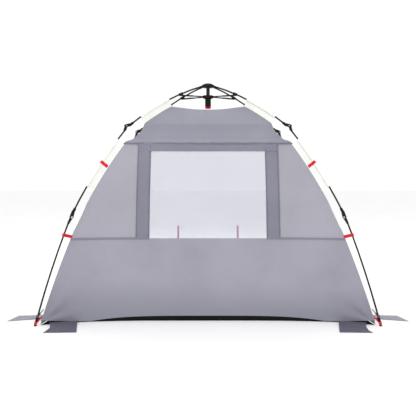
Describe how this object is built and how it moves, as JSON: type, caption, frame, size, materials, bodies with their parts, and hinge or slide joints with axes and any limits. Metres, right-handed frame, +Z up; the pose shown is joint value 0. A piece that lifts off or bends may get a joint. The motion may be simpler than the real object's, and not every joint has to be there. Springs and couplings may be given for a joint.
{
  "type": "pop up tent",
  "caption": "Fabric shelter on jointed legs that fold from a central hub, with a rear window, an open front and ground flaps.",
  "frame": {"origin": "middle of the floor's underside, on the ground, under the hub", "axes": "+Z up through the hub, +X across the tent's width, -Y out through the rear wall with the window"},
  "size_m": [2.744, 1.5952, 1.7],
  "materials": {
    "roof_fabric": "woven coated polyester",
    "wall_fabric": "woven coated polyester",
    "window_mesh": "fine see-through mesh",
    "floor_fabric": "coated sheet",
    "flap_fabric": "woven polyester",
    "sleeve_fabric": "woven polyester",
    "red_webbing": "woven webbing",
    "pole": "satin black",
    "black_plastic": "moulded",
    "post_steel": "drawn steel"
  },
  "bodies": {
    "tent_body": {"floor": "floor_fabric", "floor_edge": "floor_fabric", "left_wall": "wall_fabric", "rear_flap_left": "flap_fabric", "rear_flap_right": "flap_fabric", "rear_wall": "wall_fabric", "right_wall": "wall_fabric", "roof": "roof_fabric", "side_flap_left": "flap_fabric", "side_flap_right": "flap_fabric", "window_pane": "window_mesh"},
    "crown": {"crown": "black_plastic", "post": "post_steel"},
    "runner": {"runner": "black_plastic", "pull_tab": "red_webbing"},
    "upper_rear_right": {"upper_pole_rear_right": "pole", "upper_knuckle_rear_right": "black_plastic", "upper_sleeve_rear_right": "sleeve_fabric", "strut_lug_rear_right": "black_plastic"},
    "middle_rear_right": {"middle_pole_rear_right": "pole", "lower_knuckle_rear_right": "black_plastic", "middle_sleeve_rear_right": "sleeve_fabric", "sleeve_band_rear_right": "red_webbing"},
    "lower_rear_right": {"lower_pole_rear_right": "pole", "foot_rear_right": "black_plastic"},
    "strut_body_rear_right": {"strut_rear_right": "black_plastic"},
    "upper_front_right": {"upper_pole_front_right": "pole", "upper_knuckle_front_right": "black_plastic", "upper_sleeve_front_right": "sleeve_fabric", "strut_lug_front_right": "black_plastic"},
    "middle_front_right": {"middle_pole_front_right": "pole", "lower_knuckle_front_right": "black_plastic", "middle_sleeve_front_right": "sleeve_fabric", "sleeve_band_front_right": "red_webbing"},
    "lower_front_right": {"lower_pole_front_right": "pole", "foot_front_right": "black_plastic"},
    "strut_body_front_right": {"strut_front_right": "black_plastic"},
    "upper_front_left": {"upper_pole_front_left": "pole", "upper_knuckle_front_left": "black_plastic", "upper_sleeve_front_left": "sleeve_fabric", "strut_lug_front_left": "black_plastic"},
    "middle_front_left": {"middle_pole_front_left": "pole", "lower_knuckle_front_left": "black_plastic", "middle_sleeve_front_left": "sleeve_fabric", "sleeve_band_front_left": "red_webbing"},
    "lower_front_left": {"lower_pole_front_left": "pole", "foot_front_left": "black_plastic"},
    "strut_body_front_left": {"strut_front_left": "black_plastic"},
    "upper_rear_left": {"upper_pole_rear_left": "pole", "upper_knuckle_rear_left": "black_plastic", "upper_sleeve_rear_left": "sleeve_fabric", "strut_lug_rear_left": "black_plastic"},
    "middle_rear_left": {"middle_pole_rear_left": "pole", "lower_knuckle_rear_left": "black_plastic", "middle_sleeve_rear_left": "sleeve_fabric", "sleeve_band_rear_left": "red_webbing"},
    "lower_rear_left": {"lower_pole_rear_left": "pole", "foot_rear_left": "black_plastic"},
    "strut_body_rear_left": {"strut_rear_left": "black_plastic"}
  },
  "joints": [
    {"name": "crown_drop", "type": "slide", "parent": "tent_body", "child": "crown", "axis": [0, 0, -1], "range_m": [0, 0.9], "deforming": ["roof", "rear_wall", "window_pane", "left_wall", "right_wall", "floor_edge", "upper_sleeve_rear_right", "middle_sleeve_rear_right", "sleeve_band_rear_right", "upper_sleeve_front_right", "middle_sleeve_front_right", "sleeve_band_front_right", "upper_sleeve_front_left", "middle_sleeve_front_left", "sleeve_band_front_left", "upper_sleeve_rear_left", "middle_sleeve_rear_left", "sleeve_band_rear_left"]},
    {"name": "runner_slide", "type": "slide", "parent": "crown", "child": "runner", "axis": [0, 0, -1], "range_m": [0, 0.3398]},
    {"name": "hub_fold_rear_right", "type": "hinge", "parent": "crown", "child": "upper_rear_right", "pos_m": [0.03071, -0.01878, 1.682], "axis": [0.5216, 0.8532, 0], "range_deg": [0, 58.3]},
    {"name": "upper_knuckle_fold_rear_right", "type": "hinge", "parent": "upper_rear_right", "child": "middle_rear_right", "pos_m": [0.58528, -0.35781, 1.35039], "axis": [-0.5216, -0.8532, 0], "range_deg": [0, 192.3]},
    {"name": "lower_knuckle_fold_rear_right", "type": "hinge", "parent": "middle_rear_right", "child": "lower_rear_right", "pos_m": [0.93217, -0.56988, 0.71045], "axis": [0.5216, 0.8532, 0], "range_deg": [0, 150.3]},
    {"name": "strut_fold_rear_right", "type": "hinge", "parent": "runner", "child": "strut_body_rear_right", "pos_m": [0.0256, -0.01565, 1.598], "axis": [-0.5216, -0.8532, 0], "range_deg": [0, 79.64]},
    {"name": "hub_fold_front_right", "type": "hinge", "parent": "crown", "child": "upper_front_right", "pos_m": [0.03071, 0.01878, 1.682], "axis": [-0.5216, 0.8532, 0], "range_deg": [0, 58.3]},
    {"name": "upper_knuckle_fold_front_right", "type": "hinge", "parent": "upper_front_right", "child": "middle_front_right", "pos_m": [0.58528, 0.35781, 1.35039], "axis": [0.5216, -0.8532, 0], "range_deg": [0, 192.3]},
    {"name": "lower_knuckle_fold_front_right", "type": "hinge", "parent": "middle_front_right", "child": "lower_front_right", "pos_m": [0.93217, 0.56988, 0.71045], "axis": [-0.5216, 0.8532, 0], "range_deg": [0, 150.3]},
    {"name": "strut_fold_front_right", "type": "hinge", "parent": "runner", "child": "strut_body_front_right", "pos_m": [0.0256, 0.01565, 1.598], "axis": [0.5216, -0.8532, 0], "range_deg": [0, 79.64]},
    {"name": "hub_fold_front_left", "type": "hinge", "parent": "crown", "child": "upper_front_left", "pos_m": [-0.03071, 0.01878, 1.682], "axis": [-0.5216, -0.8532, 0], "range_deg": [0, 58.3]},
    {"name": "upper_knuckle_fold_front_left", "type": "hinge", "parent": "upper_front_left", "child": "middle_front_left", "pos_m": [-0.58528, 0.35781, 1.35039], "axis": [0.5216, 0.8532, 0], "range_deg": [0, 192.3]},
    {"name": "lower_knuckle_fold_front_left", "type": "hinge", "parent": "middle_front_left", "child": "lower_front_left", "pos_m": [-0.93217, 0.56988, 0.71045], "axis": [-0.5216, -0.8532, 0], "range_deg": [0, 150.3]},
    {"name": "strut_fold_front_left", "type": "hinge", "parent": "runner", "child": "strut_body_front_left", "pos_m": [-0.0256, 0.01565, 1.598], "axis": [0.5216, 0.8532, 0], "range_deg": [0, 79.64]},
    {"name": "hub_fold_rear_left", "type": "hinge", "parent": "crown", "child": "upper_rear_left", "pos_m": [-0.03071, -0.01878, 1.682], "axis": [0.5216, -0.8532, 0], "range_deg": [0, 58.3]},
    {"name": "upper_knuckle_fold_rear_left", "type": "hinge", "parent": "upper_rear_left", "child": "middle_rear_left", "pos_m": [-0.58528, -0.35781, 1.35039], "axis": [-0.5216, 0.8532, 0], "range_deg": [0, 192.3]},
    {"name": "lower_knuckle_fold_rear_left", "type": "hinge", "parent": "middle_rear_left", "child": "lower_rear_left", "pos_m": [-0.93217, -0.56988, 0.71045], "axis": [0.5216, -0.8532, 0], "range_deg": [0, 150.3]},
    {"name": "strut_fold_rear_left", "type": "hinge", "parent": "runner", "child": "strut_body_rear_left", "pos_m": [-0.0256, -0.01565, 1.598], "axis": [-0.5216, 0.8532, 0], "range_deg": [0, 79.64]}
  ],
  "couplings": [
    {"joint": "runner_slide", "follows": "crown_drop", "ratio": 0.3764},
    {"joint": "hub_fold_rear_right", "follows": "crown_drop", "rad_per_m": 1.1248},
    {"joint": "upper_knuckle_fold_rear_right", "follows": "crown_drop", "rad_per_m": 3.7234},
    {"joint": "lower_knuckle_fold_rear_right", "follows": "crown_drop", "rad_per_m": 2.9089},
    {"joint": "strut_fold_rear_right", "follows": "crown_drop", "rad_per_m": 1.5385},
    {"joint": "hub_fold_front_right", "follows": "crown_drop", "rad_per_m": 1.1248},
    {"joint": "upper_knuckle_fold_front_right", "follows": "crown_drop", "rad_per_m": 3.7234},
    {"joint": "lower_knuckle_fold_front_right", "follows": "crown_drop", "rad_per_m": 2.9089},
    {"joint": "strut_fold_front_right", "follows": "crown_drop", "rad_per_m": 1.5385},
    {"joint": "hub_fold_front_left", "follows": "crown_drop", "rad_per_m": 1.1248},
    {"joint": "upper_knuckle_fold_front_left", "follows": "crown_drop", "rad_per_m": 3.7234},
    {"joint": "lower_knuckle_fold_front_left", "follows": "crown_drop", "rad_per_m": 2.9089},
    {"joint": "strut_fold_front_left", "follows": "crown_drop", "rad_per_m": 1.5385},
    {"joint": "hub_fold_rear_left", "follows": "crown_drop", "rad_per_m": 1.1248},
    {"joint": "upper_knuckle_fold_rear_left", "follows": "crown_drop", "rad_per_m": 3.7234},
    {"joint": "lower_knuckle_fold_rear_left", "follows": "crown_drop", "rad_per_m": 2.9089},
    {"joint": "strut_fold_rear_left", "follows": "crown_drop", "rad_per_m": 1.5385}
  ]
}
